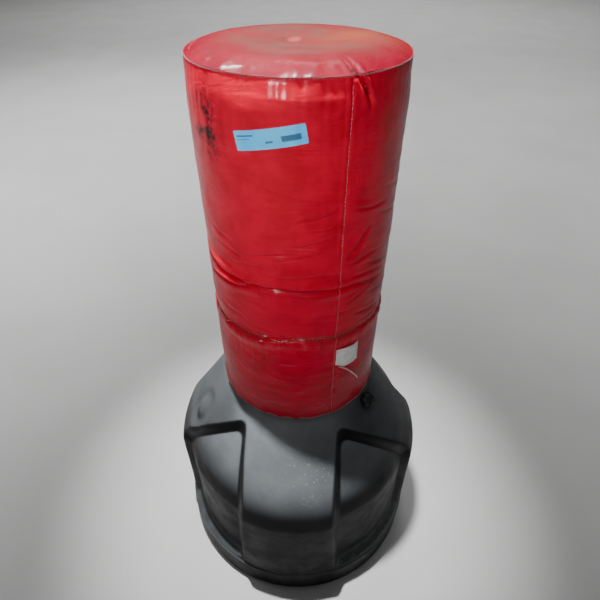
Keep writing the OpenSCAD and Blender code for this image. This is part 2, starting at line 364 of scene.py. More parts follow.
def base_material():
    """Black moulded polyethylene: pebbled skin, grey bloom and dust where it faces up, with painted light
    where the bloom is raised on the front, pale grains.
    """
    s = Shader("moulded_black_plastic")
    up = s.upward()
    bloom_and_front_light = s.times(s.steps(up, 0.31, 0.52), s.steps(s.noise(11, 6, 0.6), 0.25, 0.75, 0.65, 1))
    # The bloom share also carries painted light: it is raised on the front strap and front panels.
    bloom_and_front_light = s.times(bloom_and_front_light, s.attribute("bloom_and_front_light"))
    color = s.mix(s.steps(s.noise(5, 5), 0.35, 0.7), (0.0048, 0.0050, 0.0056), (0.0085, 0.0088, 0.0094))
    color = s.mix(bloom_and_front_light, color, (0.190, 0.208, 0.222))
    fine = s.steps(s.cells(900), 0.06, 0.22, 1, 0)
    dust = s.times(fine, s.steps(s.noise(30, 5, 0.7), 0.5, 0.68))
    dust = s.times(dust, s.steps(up, -0.1, 0.6, 0.04, 0.5))
    color = s.mix(dust, color, (0.20, 0.20, 0.19))
    color = s.mix(s.attribute("ledge_dust"), color, (0.030, 0.031, 0.032))
    grit = s.times(s.steps(s.cells(150), 0.12, 0.17, 1, 0), s.steps(s.noise(60, 2), 0.42, 0.48))
    color = s.mix(s.times(grit, s.attribute("grit")), color, (0.62, 0.62, 0.60))
    scuff = s.steps(s.noise(4, 4, 0.6, s.scaled(1, 1, 7), 0.8), 0.62, 0.70)
    color = s.mix(s.times(scuff, 0.09), color, (0.085, 0.080, 0.075))
    pebble = s.bump(s.cells(430), 0.5, 0.0008)
    skin = s.bump(s.noise(170, 4, 0.65), 0.5, 0.0009, pebble)
    normal = s.bump(s.noise(14, 3, 0.5), 0.16, 0.003, skin)
    roughness = s.steps(s.noise(20, 5, 0.6), 0.3, 0.75, 0.40, 0.58)
    return s.finish(color, roughness, normal, Specular_IOR_Level=s.steps(up, 0.1, 0.7, 0.06, 0.36))


def plastic_material(name, color, worn, rough):
    """Plain moulded plastic with a fine pebbled skin, faint blotches and rubbed marks."""
    s = Shader(name)
    blotch = s.mix(s.steps(s.noise(24, 5), 0.35, 0.7), color, tuple(c * 1.35 for c in color))
    rubbed = s.steps(s.noise(30, 5, 0.65, s.scaled(1, 1, 5)), 0.6, 0.72)
    blotch = s.mix(s.times(rubbed, 0.35), blotch, worn)
    skin = s.bump(s.noise(300, 4, 0.6), 0.25, 0.0004)
    roughness = s.steps(s.noise(40, 4), 0.3, 0.7, rough - 0.06, rough + 0.1)
    return s.finish(blotch, roughness, skin)


def rubber_material():
    s = Shader("black_rubber")
    color = s.mix(s.steps(s.noise(80, 4), 0.3, 0.7), (0.010, 0.010, 0.010), (0.022, 0.022, 0.021))
    roughness = s.steps(s.noise(60, 3), 0.3, 0.7, 0.62, 0.8)
    return s.finish(color, roughness, s.bump(s.noise(500, 3), 0.3, 0.0003))


def steel_material():
    """Drawn bar: fine lines along X, slightly oiled."""
    s = Shader("zinc_steel")
    lines = s.noise(260, 3, 0.6, s.scaled(0.03, 1, 1))
    color = s.mix(s.steps(lines, 0.3, 0.7), (0.50, 0.51, 0.53), (0.66, 0.66, 0.67))
    roughness = s.steps(s.noise(40, 4), 0.3, 0.7, 0.26, 0.42)
    return s.finish(color, roughness, s.bump(lines, 0.2, 0.0002), Metallic=1.0)


def foam_material():
    """Bonded open-cell foam: chips of a few tints, with pores painted darker as shade in the cells."""
    s = Shader("cut_foam")
    chips = s.cells(70, feature="F1", output="Color")
    shade = s.node("ShaderNodeSeparateColor", {0: chips}).outputs[0]
    color = s.mix(shade, (0.56, 0.50, 0.30), (0.74, 0.69, 0.50))
    pores = s.cells(900)
    # Painted shade in the pores.
    color = s.mix(s.steps(pores, 0.0, 0.35, 0.35, 0), color, (0.24, 0.20, 0.10))
    return s.finish(color, 0.92, s.bump(pores, 0.8, 0.0012))


def thread_material(name, color, dirty):
    """Twisted thread or tape: slanted ply lines, soiled in patches."""
    s = Shader(name)
    tint = s.mix(s.steps(s.noise(70, 5, 0.65), 0.42, 0.66), color, dirty)
    tint = s.mix(s.attribute("bare"), tint, (0.72, 0.62, 0.60))
    ply = s.noise(1500, 2, 0.5, s.scaled(1, 1, 0.4))
    return s.finish(tint, 0.78, s.bump(ply, 0.6, 0.0003), Sheen_Weight=0.3)


def label_material():
    """White woven tape, faintly lined across and greyed in patches."""
    s = Shader("woven_label")
    across = s.node("ShaderNodeTexWave", {"Vector": s.coords, "Scale": 260, "Distortion": 1.5,
                                          "Detail": 2}, bands_direction="Z").outputs["Fac"]
    tint = s.mix(s.steps(s.noise(60, 5, 0.6), 0.45, 0.75), (0.76, 0.77, 0.73), (0.58, 0.56, 0.51))
    tint = s.mix(s.times(across, 0.14), tint, (0.5, 0.49, 0.46))
    return s.finish(tint, 0.85, s.bump(across, 0.35, 0.0002), Sheen_Weight=0.2)


def sticker_material():
    """Pale blue coated paper with dark rules and faint creases."""
    s = Shader("blue_tag_paper")
    tint = s.mix(s.steps(s.noise(40, 4), 0.35, 0.7), (0.07, 0.50, 0.98), (0.10, 0.60, 1.0))
    tint = s.mix(s.attribute("rule"), tint, (0.035, 0.075, 0.155))
    crease = s.noise(30, 4, 0.6, distortion=0.6)
    return s.finish(tint, s.steps(s.noise(90, 3), 0.3, 0.7, 0.36, 0.5), s.bump(crease, 0.12, 0.0012))


def water_material():
    s = Shader("ballast_water")
    tint = s.mix(s.steps(s.noise(6, 4), 0.3, 0.7), (0.10, 0.17, 0.18), (0.16, 0.24, 0.25))
    return s.finish(tint, 0.08, s.bump(s.noise(12, 2), 0.1, 0.004))


def floor_material():
    s = Shader("pale_floor")
    tint = s.mix(s.steps(s.noise(2, 4), 0.3, 0.7), (0.35, 0.35, 0.347), (0.38, 0.38, 0.377))
    return s.finish(tint, 0.75, s.bump(s.noise(180, 3), 0.05, 0.0005))


MATERIALS = {
    "vinyl": vinyl_material("red_vinyl_cover", (0.62, 0.0006, 0.0265), (0.50, 0.0004, 0.019),
                            (0.25, 0.105, 0.075), (0.48, 0.10, 0.03), 0.26),
    # Painted shade: a copy of the red vinyl about a third as bright, for the top panel under the lamp above.
    "top_vinyl_shaded": vinyl_material("red_vinyl_top_shaded", (0.155, 0.0007, 0.010), (0.12, 0.0006, 0.008),
                                (0.088, 0.033, 0.026), (0.185, 0.036, 0.015), 0.13),
    "base": base_material(),
    "post": plastic_material("post_plastic_black", (0.020, 0.020, 0.022), (0.09, 0.09, 0.09), 0.42),
    "nut": plastic_material("nut_plastic_black", (0.026, 0.026, 0.028), (0.08, 0.08, 0.08), 0.46),
    "cap": plastic_material("cap_plastic_black", (0.012, 0.012, 0.013), (0.07, 0.07, 0.07), 0.40),
    "nylon": plastic_material("natural_nylon", (0.55, 0.53, 0.46), (0.36, 0.34, 0.29), 0.38),
    "rubber": rubber_material(),
    "steel": steel_material(),
    "foam": foam_material(),
    "seam": thread_material("seam_thread_rose", (0.66, 0.22, 0.24), (0.36, 0.05, 0.06)),
    "seam_deep": thread_material("seam_cord_red", (0.14, 0.004, 0.009), (0.08, 0.002, 0.004)),
    "seam_top": thread_material("seam_thread_top", (0.40, 0.075, 0.09), (0.22, 0.02, 0.03)),
    "hem": thread_material("hem_tape_pale", (0.34, 0.15, 0.13), (0.09, 0.02, 0.02)),
    "loose_strip": thread_material("loose_strip_pink", (0.86, 0.50, 0.52), (0.72, 0.34, 0.36)),
    "label": label_material(),
    "sticker": sticker_material(),
    "water": water_material(),
    "floor": floor_material(),
}
CAD_MATERIALS = {
    "water_fill": "water", "height_post": "post", "post_plug": "post", "post_nut": "nut",
    "post_seal": "rubber", "lock_peg": "steel", "peg_clip": "steel", "fill_neck": "nut",
    "cap_gasket": "rubber", "seat_bush": "nylon", "core_washer": "nylon", "core_tube": "post",
    "core_cap": "post",
}

make_camera()
make_label_strip()
for node_name, material_name in CAD_MATERIALS.items():
    node_object = frame["nodes"][node_name]
    node_object.data.materials.clear()
    node_object.data.materials.append(MATERIALS[material_name])


# ---------------------------------------------------------------- base
def shoulder_curve(a, inset):
    """(radius, height) of the shoulder at angle a, 0 at the wall, set in by inset."""
    r = SHOULDER_R0 + (WALL_R - SHOULDER_R0 - inset) * np.cos(a) ** (2 / SHOULDER_N)
    z = WALL_TOP + (SHOULDER_RISE - inset) * np.sin(a) ** (2 / SHOULDER_N)
    return r, z


def even_angles(step, r_end):
    """Angles that walk the shoulder in even steps of length, from the wall to radius r_end."""
    a = np.linspace(0, radians(85), 4000)
    r, z = shoulder_curve(a, 0)
    keep = r >= r_end
    a, r, z = a[keep], r[keep], z[keep]
    length = np.concatenate([[0], np.cumsum(np.hypot(np.diff(r), np.diff(z)))])
    return np.interp(np.arange(step, length[-1], step), length, a)


def base_outlines():
    """Rows of the base's outline, from underneath to the neck: radius and height, full and then sunk."""
    corner = 11 * MM
    rows = [(r, FOOT_LIFT) for r in np.linspace(40, 236, 12) * MM]
    rows += [(FOOT_R - 1 * MM, 3.2 * MM), (FOOT_R, 1.5 * MM), (FOOT_R + 1.5 * MM, 0.2 * MM)]
    rows += [(r * MM, 0.0) for r in (244, 252, 262, 272, 282)]
    rows += [(SKIRT_R - corner + corner * sin(t), corner - corner * cos(t))
             for t in np.radians(np.arange(0, 91, 10))]
    rows += [(SKIRT_R + 0.15 * MM * sin(z / 9), z * MM) for z in range(14, 69, 3)]
    bead = [(301.3, 70), (302.0, 71.5), (302.3, 73.2), (302.0, 74.8), (301.0, 76.0), (299.9, 76.6),
            (299.2, 77.4)]
    rows += [(r * MM, z * MM) for r, z in bead]
    rows = [(r, z, r, z) for r, z in rows]
    heights = np.concatenate([np.arange(79, 116, 1.5), np.arange(116, 308, 3)]) * MM
    for z in heights:
        full = WALL_R - 0.6 * MM * bump(z - 79 * MM, 3 * MM)
        ledge = smoothstep(76 * MM, 104 * MM, z)
        rows.append((full, z, WALL_R - PANEL_DEPTH * ledge, z))
    top = PLATEAU_Z + 0.6 * MM
    for a in even_angles(3 * MM, 104 * MM):
        r, z = shoulder_curve(a, 0)
        sunk_r, sunk_z = shoulder_curve(a, PANEL_DEPTH)
        rows.append((r, float(soft_min(z, top, 10 * MM)), sunk_r, float(soft_min(sunk_z, top, 10 * MM))))
    rows += [(r, PLATEAU_Z, r, PLATEAU_Z) for r in np.array([98, 90, 82, 76, 71, 67, 65]) * MM]
    neck = [(63.4, 532.0), (62.4, 534.0), (62.0, 537.0), (62.0, 541.4), (61.4, 542.0), (57.0, 542.0),
            (52.0, 542.0)]
    rows += [(r * MM, z * MM, r * MM, z * MM) for r, z in neck]
    return np.array(rows)


def panel_share(m, n, z, slope_up, edge):
    """How far a point with plan (m, n), both positive, lies in a sunk panel, from 0 to 1."""
    radius = np.hypot(m, n) + 1e-9
    rx, ry = m / radius, n / radius
    strap_half = np.interp(z, [76 * MM, 355 * MM, 502 * MM], [123 * MM, 107 * MM, 102 * MM])
    from_strap = (m - strap_half) / np.sqrt((rx * slope_up) ** 2 + ry ** 2)
    s = np.linspace(0, 1, 40)[:, None]
    edge_m, edge_n = (((1 - s) ** 2 * edge[0] + 2 * s * (1 - s) * edge[1] + s ** 2 * edge[2]) * MM).T
    edge_m, edge_n = np.append(edge_m, 330 * MM), np.append(edge_n, edge_n[-1])
    slant = np.interp(m, edge_m[1:], np.diff(edge_n) / np.diff(edge_m))
    rise = n - np.interp(m, edge_m, edge_n)
    along = (-slant * rx + ry) * slope_up
    across = slant * ry + rx
    from_edge = rise / np.sqrt(along ** 2 + across ** 2 + 1e-6)
    inside = soft_min(from_strap, from_edge, 24 * MM)
    return smoothstep(-13 * MM, 17 * MM, inside)


def seat_fill_cap(p):
    """Flattens the shoulder round the fill opening to the cap's seat, with a soft lip round it."""
    rel = p - np.array(CAP_SEAT)
    axis = np.array(CAP_AXIS)
    up = rel @ axis
    away = np.linalg.norm(rel - up[..., None] * axis, axis=-1)
    near = (1 - smoothstep(22 * MM, 33 * MM, away)) * (np.abs(up) < 36 * MM)
    return p - (near * up)[..., None] * axis


def build_base():
    rows = base_outlines()
    cols = 768
    az = np.arange(cols) * tau / cols
    full_r, full_z, sunk_r, sunk_z = (rows[:, k][:, None] for k in range(4))
    dr, dz = np.gradient(rows[:, 0]), np.gradient(rows[:, 1])
    slope_up = (np.abs(dr) / np.maximum(np.hypot(dr, dz), 1e-9))[:, None]
    m, n = np.abs(full_r * np.sin(az)), np.abs(full_r * np.cos(az))
    front = panel_share(m, n, full_z + 0 * m, slope_up, FRONT_EDGE)
    back = panel_share(m, n, full_z + 0 * m, slope_up, BACK_EDGE)
    share = np.where(np.cos(az) > 0, front, back)
    r = full_r + (sunk_r - full_r) * share
    z = full_z + (sunk_z - full_z) * share
    sway = 0.9 * MM * lattice_noise(az[None, :] / tau + 0 * z, z / (70 * MM), 11, 5)
    r = r + sway * smoothstep(80 * MM, 140 * MM, z) * smoothstep(70 * MM, 120 * MM, r)
    p = on_bag(az[None, :] + 0 * r, z, r)
    p = seat_fill_cap(press_roundel(p))
    base = lathe_mesh("base_moulding", p)
    grain = lattice_noise(az[None, :] / tau + 0 * z, z / (12 * MM), 90, 8)
    dusty = smoothstep(77 * MM, 84 * MM, z) * (1 - smoothstep(96 * MM, 112 * MM, z)) * share
    set_attribute(base, "ledge_dust", (dusty * (0.6 + 0.4 * grain)).ravel())
    # Painted light: more grey bloom on the front strap and the upper front panels.
    on_strap = smoothstep(-30 * MM, 30 * MM, 115 * MM - m)
    on_panel = share * smoothstep(300 * MM, 360 * MM, z)
    in_front = (np.cos(az) > 0) * smoothstep(100 * MM, 300 * MM, z)
    bloom_and_front_light = 0.32 + 0.50 * np.maximum(on_strap, on_panel) * in_front
    set_attribute(base, "bloom_and_front_light", bloom_and_front_light.ravel())
    spill = bump(np.hypot(angle_from(az, 10) * 1.1 * r, z - 438 * MM), 45 * MM)
    grit = spill + 0.5 * dusty * bump(angle_from(az, 42), 0.5)
    set_attribute(base, "grit", grit.ravel())
    finish_piece(base, "base", "base_plastic", "base", "base_shell")


def press_roundel(p):
    """A shallow moulded mark on the left side bar: an oval dip, longest down the slope."""
    bearing, slope = np.array(radians(-68)), radians(50)
    mark = on_bag(bearing, 447 * MM, 237 * MM)
    down_slope = radial(bearing) * cos(slope) - np.array([0, 0, sin(slope)])
    away = np.sqrt(((p - mark) ** 2).sum(-1) - 0.5 * ((p - mark) @ down_slope) ** 2)
    dip = 4.4 * MM * bump(away - 26 * MM, 13 * MM)
    outward = p - np.array([0, 0, 250 * MM])
    outward = outward / np.linalg.norm(outward, axis=-1, keepdims=True)
    return p - dip[..., None] * outward


def build_fill_cap():
    """Screw cap: eight rounded knobs, a dished top and a hollow plug."""
    cols = 160
    turn = np.arange(cols) * tau / cols
    knob = 0.5 + 0.5 * np.cos(8 * turn)
    lobes = (16.2 + 3.1 * knob ** 0.7) * MM
    low, high = 5.1 * MM, 14.6 * MM
    bore_r, plug_r, plug_end = 9.5, 12.4, -9.9
    plug = [(bore_r, 0.5), (bore_r, plug_end + 0.9), (bore_r + 0.6, plug_end), (plug_r - 0.6, plug_end),
            (plug_r, plug_end + 0.7), (plug_r, 4.6), (plug_r + 0.5, 5.1)]
    rows = [(np.full(cols, r * MM), z * MM) for r, z in plug]
    rows += [(lobes - 1.6 * MM, low), (lobes - 0.4 * MM, low + 0.5 * MM), (lobes, low + 1.6 * MM)]
    rows += [(lobes - 0.25 * MM * k, low + (1.6 + 1.25 * k) * MM) for k in range(1, 5)]
    rows += [(lobes - 1.9 * MM, high - 1.2 * MM), (lobes - 3.2 * MM, high - 0.4 * MM)]
    blend_out = [(0.25, 14.6, 15.0), (0.7, 13.2, 14.9), (1.0, 12.0, 14.4)]
    rows += [((lobes - 3.2 * MM) * (1 - t) + r * MM * t, z * MM) for t, r, z in blend_out]
    dish = [(11.0, 13.2), (10.4, 12.4), (9.0, 12.1), (4.0, 12.1)]
    rows += [(np.full(cols, r * MM), z * MM) for r, z in dish]
    frame_x = CAP_AXIS.cross(Vector((0, 0, 1))).normalized()
    frame_y = CAP_AXIS.cross(frame_x)
    x, y, a = (np.array(v) for v in (frame_x, frame_y, CAP_AXIS))
    ring = [np.array(CAP_SEAT) + np.outer(r * np.cos(turn), x) + np.outer(r * np.sin(turn), y) + h * a
            for r, h in rows]
    cap = lathe_mesh("fill_cap_knob", np.array(ring))
    finish_piece(cap, "cap", "cap_plastic", "cap", "fill_cap")


# ---------------------------------------------------------------- bag cover
COLS, ROWS = 640, 360
BAG_AZ = np.arange(COLS) * tau / COLS

# Folds of the side panel: (turn in degrees, height in mm) along the crease, depth and width in mm
FOLDS = [
    ([(-72, 890), (-56, 881), (-46, 880), (-35, 877), (-26, 872), (-16, 871)], 7.5, 4.6),
    ([(-26, 872), (-8, 874), (6, 871), (18, 870), (32, 867), (48, 868)], 4.6, 4.4),
    ([(-75, 858), (-58, 851), (-46, 858), (-34, 860), (-22, 869)], 5.5, 4.0),
    ([(-20, 862), (-4, 864), (12, 860), (24, 861)], 1.5, 4.0),
    ([(-24, 932), (-8, 942), (8, 946)], 1.6, 3.2),
    ([(-8, 930), (6, 939), (20, 948)], 1.5, 3.0),
    ([(2, 957), (12, 963), (22, 971)], 1.3, 3.0),
    ([(4, 1000), (15, 1006), (27, 1016)], 1.5, 3.2),
    ([(8, 982), (20, 985), (29, 990)], 1.3, 2.8),
    ([(-52, 958), (-44, 950), (-34, 948)], 1.2, 3.5),
    ([(34, 1012), (46, 1004), (60, 1002)], 1.6, 3.4),
    ([(-14, 900), (2, 898), (16, 902), (27, 900)], 1.2, 3.4),
    ([(36, 912), (48, 918), (62, 914)], 1.7, 3.4),
    ([(-50, 935), (-38, 930), (-26, 922)], 1.1, 3.6),
    ([(-36, 905), (-20, 912), (-6, 908)], 1.0, 4.0),
    ([(32, 924), (40, 946), (47, 975)], 2.2, 4.5),
    ([(46, 902), (58, 889), (72, 874)], 2.3, 4.0),
    ([(38, 866), (52, 858), (70, 845)], 2.8, 4.5),
    ([(36, 884), (50, 880), (66, 868)], 1.7, 3.5),
    ([(50, 836), (64, 820), (82, 804)], 2.4, 4.5),
    ([(34, 832), (46, 842), (56, 858)], 1.4, 3.5),
    ([(40, 800), (52, 791), (66, 781)], 1.9, 3.8),
    ([(44, 776), (58, 770), (74, 772)], 1.5, 3.8),
    ([(52, 990), (66, 976), (80, 972)], 1.6, 4.5),
    ([(56, 1030), (70, 1018), (84, 1016)], 1.3, 4.5),
    ([(-60, 800), (-44, 792), (-30, 795)], 1.2, 4.5),
    ([(96, 905), (112, 892), (128, 884), (142, 886)], 3.0, 5.5),
    ([(150, 862), (168, 870), (186, 868), (204, 858)], 3.4, 5.5),
    ([(206, 900), (222, 890), (240, 884), (258, 888)], 3.2, 5.0),
    ([(88, 1010), (104, 1002), (122, 1006)], 1.8, 4.5),
    ([(176, 1050), (196, 1038), (214, 1042)], 1.7, 4.5),
    ([(232, 655), (248, 646), (268, 650)], 1.8, 5.0),
    ([(112, 640), (130, 634), (146, 640)], 1.7, 5.0),
]
# The gash under the top seam: (turn in degrees, height in mm) along it
GASH = [(31, 1196), (33, 1190), (35, 1182), (37.5, 1170), (40, 1153)]


def cross_height(az):
    """Height in mm of the cross seam, which wanders as it goes round."""
    return CROSS_Z / MM + 5.5 * np.cos(3 * angle_from(az, 8)) + 2.0 * np.sin(7 * az + 1)


def crease_distance(path, az, z):
    """Distance in mm to a crease, signed above and below, and how close to its middle, 0 to 1."""
    best = np.full(az.shape, 1e9)
    signed = np.zeros(az.shape)
    place = np.zeros(az.shape)
    turns, heights = np.array(path).T
    middle = turns.mean()
    u = angle_from(az, middle) * BAG_R / MM
    pu = np.radians(turns - middle) * BAG_R / MM
    spans = len(path) - 1
    for i in range(spans):
        du, dz = pu[i + 1] - pu[i], heights[i + 1] - heights[i]
        t = np.clip(((u - pu[i]) * du + (z - heights[i]) * dz) / (du * du + dz * dz), 0, 1)
        off_u, off_z = u - pu[i] - t * du, z - heights[i] - t * dz
        d = np.hypot(off_u, off_z)
        closer = d < best
        best = np.where(closer, d, best)
        signed = np.where(closer, np.where(off_z >= 0, d, -d), signed)
        place = np.where(closer, (i + t) / spans, place)
    return signed, np.sin(np.clip(place, 0, 1) * pi) ** 0.6


# Relief of the side panel: angles in radians, heights and movements in millimetres
def wrinkles(az, z):
    """Outward movement of the side panel, and the painted shade share of each place in a fold's valley or
    along the cross seam.
    """
    wrap = az / tau
    out = 0.9 * lattice_noise(wrap, z / 150, 7, 11)
    out += 0.55 * lattice_noise(wrap, z / 42, 17, 12)
    out += 0.22 * lattice_noise(wrap, z / 11, 38, 13)
    out += 0.30 * lattice_noise(wrap + z * 0.00035, z / 16, 26, 14)
    # Painted shade share: along the cross seam and in the fold valleys.
    valley_shade = 0.8 * bump(z - cross_height(az) - 1, 4)
    for path, depth, width in FOLDS:
        signed, near = crease_distance(path, az, z)
        upper_lip = 0.62 * bump(signed - 1.9 * width, 1.6 * width)
        lower_lip = 0.40 * bump(signed + 2.2 * width, 1.8 * width)
        out += depth * (upper_lip + lower_lip - bump(signed, 0.8 * width)) * near
        valley_shade = np.maximum(valley_shade, min(depth / 5, 1) * near * bump(signed, 0.7 * width))
    out += cross_seam_pull(az, z) + top_puckers(az, z) + side_seam_pull(az, z)
    signed, near = crease_distance(GASH, az, z)
    out += (2.4 * bump(signed - 6, 3.6) + 1.5 * bump(signed + 7, 4) - 4.6 * bump(signed, 3.2)) * near
    above_hem = z - BAG_Z0 / MM
    out -= 1.6 * bump(above_hem, 7)
    out += 0.8 * np.sin(23 * az + 2 * np.sin(5 * az)) * bump(above_hem, 26)
    return out, valley_shade


def cross_seam_pull(az, z):
    """The cross seam draws the panel in, with a rolled lip below it and puckers on both sides."""
    wrap = az / tau
    d = z - cross_height(az)
    uneven = 0.75 + 0.35 * lattice_noise(wrap, 0 * z + 3.5, 19, 21)
    out = -3.8 * bump(d, 3.2) - 3.2 * np.where(d > 0, bump(d, 24), bump(d, 4)) + 2.6 * bump(d + 13, 10)
    pucker = lattice_noise(wrap, 0 * z + 1.5, 64, 22) + 0.6 * np.sin(41 * az + 3 * np.sin(3 * az))
    ruffle = lattice_noise(wrap, 0 * z + 2.5, 120, 23)
    return out * uneven + (1.3 * pucker + ruffle) * bump(d + 3, 10)


def top_puckers(az, z):
    """Gathers of the side panel under the top seam."""
    below = SEAM_Z / MM - z
    wrap = az / tau
    gather = lattice_noise(wrap, 0 * z + 0.5, 52, 31) + 0.6 * lattice_noise(wrap, 0 * z + 2.5, 104, 32)
    slack = 0.4 + 0.8 * bump(angle_from(az, -6), radians(32))
    in_front = bump(angle_from(az, -8), radians(42))
    swell = (1.4 * bump(below - 34, 20) - 3.2 * np.clip(1 - below / 24, 0, 1)) * in_front
    narrow = 2.4 * (1 - smoothstep(0, 70, below)) + 0.8 * bump(below, 4)
    return 1.7 * gather * slack * bump(below - 8, 13) + swell - narrow


def side_seam_pull(az, z):
    """The upright seam: a stitched groove beside a lapped edge."""
    d = angle_from(az, SEAM_TURN) * BAG_R / MM
    lap = 0.7 * smoothstep(-9.5, -8, d) * (1 - smoothstep(-2.5, -1, d))
    return lap - 0.9 * bump(d, 2) + 0.35 * np.sin(z / 4.1) * bump(d, 7)


def simulate_slack():
    """Slack of the side panel by cloth simulation: its outward movement at a grid of places."""
    cols, rows = 176, 110
    az = np.arange(cols) * tau / cols
    z = np.linspace(BAG_Z0, SEAM_Z, rows)
    rest = on_bag(az[None, :] + 0 * z[:, None], z[:, None] + 0 * az, np.full((rows, cols), BAG_R))
    obj = link_mesh("slack_cover", rest.reshape(-1, 3), grid_faces(rows, cols))
    cross_row = int(np.argmin(np.abs(z - CROSS_Z)))
    pinned = [row * cols + c for row in (0, cross_row, rows - 1) for c in range(cols)]
    group = obj.vertex_groups.new(name="pinned")
    group.add(pinned, 1.0, "REPLACE")
    cloth = obj.modifiers.new("cloth", "CLOTH")
    vinyl = {"quality": 6, "mass": 0.3, "vertex_group_mass": "pinned", "tension_stiffness": 18,
             "compression_stiffness": 12, "shear_stiffness": 8, "bending_stiffness": 1.2,
             "shrink_min": -0.012, "use_pressure": True, "uniform_pressure_force": 1.5}
    for setting, value in vinyl.items():
        setattr(cloth.settings, setting, value)
    cloth.settings.effector_weights.gravity = 0.6
    cloth.collision_settings.use_collision = False
    last = 24
    cloth.point_cache.frame_start, cloth.point_cache.frame_end = 1, last
    for number in range(1, last + 1):
        bpy.context.scene.frame_set(number)
    moved = obj.evaluated_get(bpy.context.evaluated_depsgraph_get()).data
    co = np.empty(len(moved.vertices) * 3)
    moved.vertices.foreach_get("co", co)
    co = co.reshape(rows, cols, 3)
    bpy.context.scene.frame_set(1)
    bpy.data.objects.remove(obj)
    out = np.hypot(co[..., 0], co[..., 1]) - BAG_R
    out -= out.mean(axis=1, keepdims=True)
    return np.clip(out, -4 * MM, 4 * MM)


def upsample(coarse, rows, cols):
    """Finer copy of a grid that wraps on its columns: read between its points, then smoothed."""
    r = np.linspace(0, coarse.shape[0] - 1, rows)
    tall = np.array([np.interp(r, np.arange(coarse.shape[0]), column) for column in coarse.T]).T
    c = np.arange(cols) * coarse.shape[1] / cols
    wrapped = np.hstack([tall[:, -2:], tall, tall[:, :2]])
    wide = np.array([np.interp(c + 2, np.arange(wrapped.shape[1]), line) for line in wrapped])
    for _ in range(3):
        wide = (np.roll(wide, 1, 1) + 2 * wide + np.roll(wide, -1, 1)) / 4
        wide[1:-1] = (wide[:-2] + 2 * wide[1:-1] + wide[2:]) / 4
    return wide


def vinyl_marks(obj, az, z, gash, **extra):
    """Shares per vertex for the material: dirt, wear and painted shade (gash, side edges and creases), and
    the weave coordinates.
    """
    thread = 0.32 * MM
    set_attribute(obj, "around", az * BAG_R / thread)
    set_attribute(obj, "up", z / thread)
    set_attribute(obj, "gash", gash)
    for name in ("grime", "dust", "tan", "scuff", "crease"):
        set_attribute(obj, name, extra.get(name, np.zeros(len(az))))


def build_side_cover():
    z = np.linspace(BAG_Z0 + 0.6 * MM, SEAM_Z - 0.4 * MM, ROWS)[:, None]
    az, z = BAG_AZ[None, :] + 0 * z, z + 0 * BAG_AZ[None, :]
    out, valley_shade = wrinkles(az, z / MM)
    r = BAG_R + out * MM
    r += upsample(simulate_slack(), ROWS, COLS)
    outer = on_bag(az, z, r)
    thickness = 3.2 * MM
    turned_in = [(2.2, -0.4), (3.4, 0.2), (3.6, 1.6)]
    low = [on_bag(az[0], z[0] + dz * MM, r[0] - dr * MM) for dr, dz in turned_in]
    inner_rows = np.linspace(0, ROWS - 1, 40).astype(int)
    inner = on_bag(az[inner_rows], z[inner_rows], r[inner_rows] - thickness)[1:]
    grid = np.concatenate([inner[::-1], np.array(low)[::-1], outer])
    side = lathe_mesh("side_cover", grid, closed_ring=True)
    skip = len(inner) + len(low)
    # The last field is painted shade in the fold valleys, set as the crease share.
    fields = (*side_marks(az, z / MM), valley_shade)
    rows_of = [np.concatenate([np.zeros((skip, COLS)), field]).ravel() for field in fields]
    gash, grime, dust, tan, scuff, crease = rows_of
    around = np.concatenate([np.tile(az[0], (skip, 1)), az]).ravel()
    up = np.concatenate([np.tile(z[:1], (skip, 1)), z]).ravel()
    vinyl_marks(side, around, up, gash, grime=grime, dust=dust, tan=tan, scuff=scuff, crease=crease)
    finish_piece(side, "bag", "red_vinyl", "vinyl", "cover_side")
    return r


def side_marks(az, z):
    """Shares of gash, grime, dust, tan and scuff over the side panel, at heights z in mm; the gash share and
    the edge parts of the grime and dust shares are painted shade.
    """
    # Gash: spots of painted near-black shade along the open slit, over its groove.
    signed, near = crease_distance(GASH, az, z)
    spots = lattice_noise(az / tau, z / 3, 380, 41)
    gash = smoothstep(0.0, 0.35, spots) * bump(signed, 2.6) * near
    # Painted shade: the bag's right and left edges as the front view sees them, darkened through the grime
    # share and greyed through the dust share.
    right_edge_shade = bump(angle_from(az, 84), radians(32))
    left_edge_shade = 0.45 * bump(angle_from(az, -82), radians(24))
    # Darker along the bottom 50 mm of the side panel.
    low = 0.35 * (1 - smoothstep(0, 50, z - BAG_Z0 / MM))
    grime = np.clip(0.08 + right_edge_shade + left_edge_shade + low, 0, 1)
    dust = 0.015 + 0.15 * right_edge_shade + 0.25 * bump(z - cross_height(az), 6) + 0.2 * left_edge_shade
    tan = 0.5 * bump(angle_from(az, 75), radians(22)) * smoothstep(-250, 0, z - SEAM_Z / MM)
    upper_scuff = bump(np.hypot(angle_from(az, -43) * BAG_R / MM * 2, z - 1135), 38)
    lower_scuff = bump(np.hypot(angle_from(az, -46) * BAG_R / MM, z - 1100), 30)
    return gash, grime, dust, tan, np.clip(1.2 * upper_scuff + 0.8 * lower_scuff, 0, 1)


